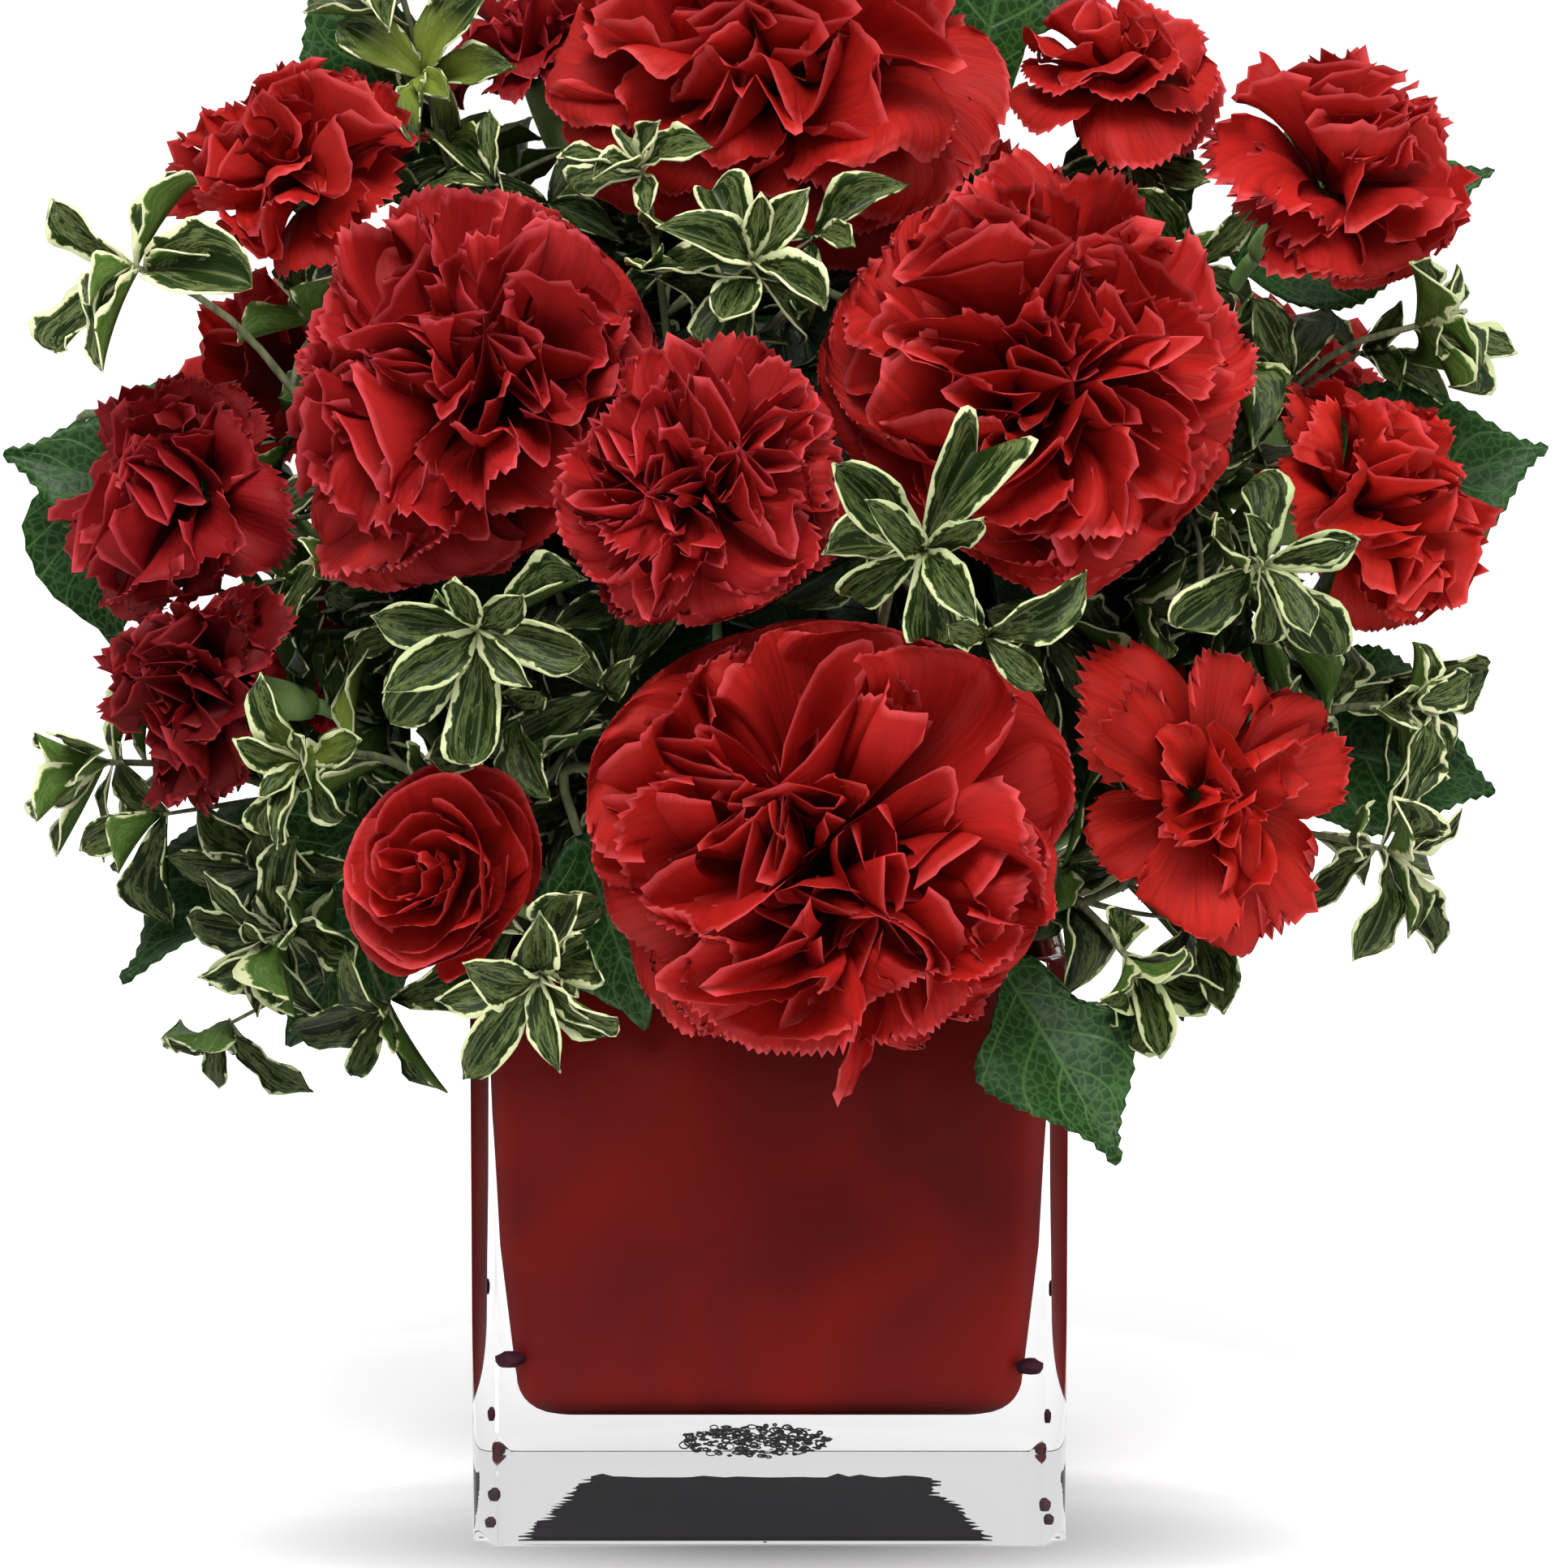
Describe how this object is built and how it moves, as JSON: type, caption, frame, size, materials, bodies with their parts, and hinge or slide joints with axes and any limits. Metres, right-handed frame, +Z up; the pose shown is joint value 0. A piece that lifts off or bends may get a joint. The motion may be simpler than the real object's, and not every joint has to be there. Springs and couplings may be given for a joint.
{
  "type": "carnations in a vase",
  "caption": "Dense dome of red carnations with variegated pittosporum and lemon leaf, on stems in a foam block inside a heavy clear glass cube vase coated red within.",
  "frame": {"origin": "centre of the vase's flat underside, on the surface that it stands on", "axes": "+Z up along the vase's upright axis; -Y towards the viewer of the picture, where the large low bloom hangs over the rim; +X to the viewer's right"},
  "size_m": [0.3011, 0.2454, 0.3208],
  "materials": {
    "glass": "polished pressed glass",
    "red_coat": "glossy deep red colour coat on the inside of the glass",
    "floral_foam": "wet, fine-celled green foam",
    "red_petals": "velvety scarlet petals with toothed edges",
    "carnation_green": "pale waxy green",
    "pittosporum_green": "satin mid green with cream leaf margins",
    "lemon_leaf_green": "satin dark green with paler veins"
  },
  "bodies": {
    "root": {"vase_glass": "glass", "vase_red_coat": "red_coat", "flower_foam": "floral_foam", "carnation_front_low": "red_petals", "carnation_upper_right": "red_petals", "carnation_upper_left": "red_petals", "carnation_top": "red_petals", "carnation_back_low": "red_petals", "carnation_back_high": "red_petals", "carnation_middle": "red_petals", "carnation_rosette": "red_petals", "carnation_left_low": "red_petals", "carnation_left": "red_petals", "carnation_left_high": "red_petals", "carnation_top_left": "red_petals", "carnation_top_right": "red_petals", "carnation_right_high": "red_petals", "carnation_right": "red_petals", "carnation_right_low": "red_petals", "carnation_back_left_high": "red_petals", "carnation_back_top": "red_petals", "carnation_back_right_low": "red_petals", "carnation_back_right": "red_petals", "carnation_back_left_low": "red_petals", "carnation_back_left": "red_petals", "carnation_stem_front_low": "carnation_green", "carnation_stem_upper_right": "carnation_green", "carnation_stem_upper_left": "carnation_green", "carnation_stem_top": "carnation_green", "carnation_stem_back_low": "carnation_green", "carnation_stem_back_high": "carnation_green", "carnation_stem_middle": "carnation_green", "carnation_stem_rosette": "carnation_green", "carnation_stem_left_low_and_left": "carnation_green", "carnation_stem_left_high_and_top_left": "carnation_green", "carnation_stem_top_right_and_right_high": "carnation_green", "carnation_stem_right_and_right_low": "carnation_green", "carnation_stem_back_left_high_and_back_top": "carnation_green", "carnation_stem_back_right_low_and_back_right": "carnation_green", "carnation_stem_back_left_low_and_back_left": "carnation_green", "pittosporum_centre_right": "pittosporum_green", "pittosporum_centre_left": "pittosporum_green", "pittosporum_rim_left": "pittosporum_green", "pittosporum_upper_middle": "pittosporum_green", "pittosporum_far_left": "pittosporum_green", "pittosporum_crown_left": "pittosporum_green", "pittosporum_low_left": "pittosporum_green", "pittosporum_right_middle": "pittosporum_green", "pittosporum_right_upper": "pittosporum_green", "pittosporum_right_low": "pittosporum_green", "pittosporum_rim_right": "pittosporum_green", "pittosporum_top_front": "pittosporum_green", "pittosporum_back_middle": "pittosporum_green", "pittosporum_back_right": "pittosporum_green", "lemon_leaf_left": "lemon_leaf_green", "lemon_leaf_right": "lemon_leaf_green", "lemon_leaf_upper_right": "lemon_leaf_green", "lemon_leaf_front": "lemon_leaf_green", "lemon_leaf_crown": "lemon_leaf_green", "lemon_leaf_back": "lemon_leaf_green"}
  },
  "joints": []
}
